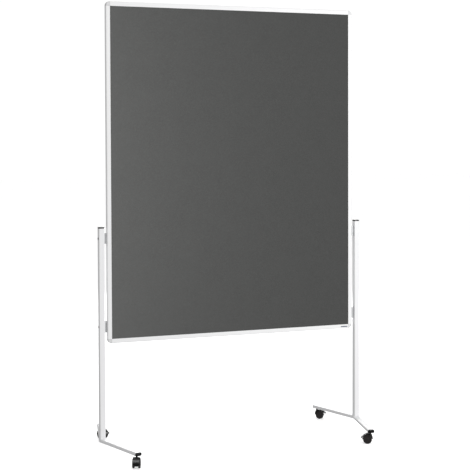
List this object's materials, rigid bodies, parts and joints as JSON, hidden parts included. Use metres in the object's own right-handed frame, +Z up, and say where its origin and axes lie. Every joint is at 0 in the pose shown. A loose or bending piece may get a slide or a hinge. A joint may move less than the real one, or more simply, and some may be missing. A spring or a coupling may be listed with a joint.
{
  "type": "rolling pinboard",
  "caption": "Framed grey felt pinboard held upright between side posts, each on splayed horizontal legs with swivelling twin-wheel casters and foot brakes.",
  "frame": {"origin": "on the floor, under the middle of the whole object's box as it stands, 14 mm in front of the board's middle plane", "axes": "+Z up, -Y is the board's front, +X to the right seen from the front"},
  "size_m": [1.2798, 0.6293, 1.986],
  "materials": {
    "frame_paint": "extruded aluminium with a satin white powder coat",
    "corner_plastic": "moulded light grey plastic, fine satin",
    "stand_paint": "steel tube with a satin white powder coat",
    "bracket_metal": "light grey satin paint",
    "felt": "dense dark grey needle felt with a faint mottle",
    "core_board": "soft fibre board",
    "black_plastic": "moulded black plastic",
    "caster_plastic": "smooth black nylon with a soft gloss",
    "wheel_plastic": "hard dark grey-black wheel plastic",
    "blackened_steel": "blackened steel",
    "steel": "bright zinc plate",
    "label_film": "blank printed film"
  },
  "bodies": {
    "board_and_stands": {"top_rail": "frame_paint", "bottom_rail": "frame_paint", "left_rail": "frame_paint", "right_rail": "frame_paint", "top_left_corner": "corner_plastic", "top_right_corner": "corner_plastic", "bottom_left_corner": "corner_plastic", "bottom_right_corner": "corner_plastic", "core_panel": "core_board", "front_felt": "felt", "rear_felt": "felt", "blank_label": "label_film", "left_post": "stand_paint", "right_post": "stand_paint", "left_post_cap": "black_plastic", "right_post_cap": "black_plastic", "upper_left_bracket": "bracket_metal", "lower_left_bracket": "bracket_metal", "upper_right_bracket": "bracket_metal", "lower_right_bracket": "bracket_metal", "upper_left_bolt": "steel", "lower_left_bolt": "steel", "upper_right_bolt": "steel", "lower_right_bolt": "steel", "front_left_leg": "stand_paint", "front_left_leg_cap": "black_plastic", "front_left_stem": "blackened_steel", "front_right_leg": "stand_paint", "front_right_leg_cap": "black_plastic", "front_right_stem": "blackened_steel", "rear_left_leg": "stand_paint", "rear_left_leg_cap": "black_plastic", "rear_left_stem": "blackened_steel", "rear_right_leg": "stand_paint", "rear_right_leg_cap": "black_plastic", "rear_right_stem": "blackened_steel"},
    "front_left_caster": {"front_left_housing": "caster_plastic", "front_left_axle": "steel"},
    "front_left_wheel_a": {"front_left_wheel_a": "wheel_plastic"},
    "front_left_wheel_b": {"front_left_wheel_b": "wheel_plastic"},
    "front_left_pedal": {"front_left_pedal": "caster_plastic"},
    "front_right_caster": {"front_right_housing": "caster_plastic", "front_right_axle": "steel"},
    "front_right_wheel_a": {"front_right_wheel_a": "wheel_plastic"},
    "front_right_wheel_b": {"front_right_wheel_b": "wheel_plastic"},
    "front_right_pedal": {"front_right_pedal": "caster_plastic"},
    "rear_left_caster": {"rear_left_housing": "caster_plastic", "rear_left_axle": "steel"},
    "rear_left_wheel_a": {"rear_left_wheel_a": "wheel_plastic"},
    "rear_left_wheel_b": {"rear_left_wheel_b": "wheel_plastic"},
    "rear_left_pedal": {"rear_left_pedal": "caster_plastic"},
    "rear_right_caster": {"rear_right_housing": "caster_plastic", "rear_right_axle": "steel"},
    "rear_right_wheel_a": {"rear_right_wheel_a": "wheel_plastic"},
    "rear_right_wheel_b": {"rear_right_wheel_b": "wheel_plastic"},
    "rear_right_pedal": {"rear_right_pedal": "caster_plastic"}
  },
  "joints": [
    {"name": "front_left_swivel", "type": "hinge", "parent": "board_and_stands", "child": "front_left_caster", "pos_m": [-0.55434, -0.26739, 0.043], "axis": [0, 0, 1], "continuous": true},
    {"name": "front_left_wheel_a_spin", "type": "hinge", "parent": "front_left_caster", "child": "front_left_wheel_a", "pos_m": [-0.55942, -0.27935, 0.02], "axis": [0.9205, -0.3907, 0], "continuous": true},
    {"name": "front_left_wheel_b_spin", "type": "hinge", "parent": "front_left_caster", "child": "front_left_wheel_b", "pos_m": [-0.55942, -0.27935, 0.02], "axis": [0.9205, -0.3907, 0], "continuous": true},
    {"name": "front_left_pedal_press", "type": "hinge", "parent": "front_left_caster", "child": "front_left_pedal", "pos_m": [-0.56372, -0.28948, 0.0326], "axis": [0.9205, -0.3907, 0], "range_deg": [0, 10]},
    {"name": "front_right_swivel", "type": "hinge", "parent": "board_and_stands", "child": "front_right_caster", "pos_m": [0.55434, -0.26739, 0.043], "axis": [0, 0, 1], "continuous": true},
    {"name": "front_right_wheel_a_spin", "type": "hinge", "parent": "front_right_caster", "child": "front_right_wheel_a", "pos_m": [0.54286, -0.26128, 0.02], "axis": [-0.4695, -0.8829, 0], "continuous": true},
    {"name": "front_right_wheel_b_spin", "type": "hinge", "parent": "front_right_caster", "child": "front_right_wheel_b", "pos_m": [0.54286, -0.26128, 0.02], "axis": [-0.4695, -0.8829, 0], "continuous": true},
    {"name": "front_right_pedal_press", "type": "hinge", "parent": "front_right_caster", "child": "front_right_pedal", "pos_m": [0.53315, -0.25612, 0.0326], "axis": [-0.4695, -0.8829, 0], "range_deg": [0, 10]},
    {"name": "rear_left_swivel", "type": "hinge", "parent": "board_and_stands", "child": "rear_left_caster", "pos_m": [-0.55434, 0.29539, 0.043], "axis": [0, 0, 1], "continuous": true},
    {"name": "rear_left_wheel_a_spin", "type": "hinge", "parent": "rear_left_caster", "child": "rear_left_wheel_a", "pos_m": [-0.54726, 0.28448, 0.02], "axis": [0.8387, 0.5446, 0], "continuous": true},
    {"name": "rear_left_wheel_b_spin", "type": "hinge", "parent": "rear_left_caster", "child": "rear_left_wheel_b", "pos_m": [-0.54726, 0.28448, 0.02], "axis": [0.8387, 0.5446, 0], "continuous": true},
    {"name": "rear_left_pedal_press", "type": "hinge", "parent": "rear_left_caster", "child": "rear_left_pedal", "pos_m": [-0.54127, 0.27526, 0.0326], "axis": [0.8387, 0.5446, 0], "range_deg": [0, 10]},
    {"name": "rear_right_swivel", "type": "hinge", "parent": "board_and_stands", "child": "rear_right_caster", "pos_m": [0.55434, 0.29539, 0.043], "axis": [0, 0, 1], "continuous": true},
    {"name": "rear_right_wheel_a_spin", "type": "hinge", "parent": "rear_right_caster", "child": "rear_right_wheel_a", "pos_m": [0.56612, 0.28989, 0.02], "axis": [0.4226, 0.9063, 0], "continuous": true},
    {"name": "rear_right_wheel_b_spin", "type": "hinge", "parent": "rear_right_caster", "child": "rear_right_wheel_b", "pos_m": [0.56612, 0.28989, 0.02], "axis": [0.4226, 0.9063, 0], "continuous": true},
    {"name": "rear_right_pedal_press", "type": "hinge", "parent": "rear_right_caster", "child": "rear_right_pedal", "pos_m": [0.57609, 0.28524, 0.0326], "axis": [0.4226, 0.9063, 0], "range_deg": [0, 10]}
  ]
}
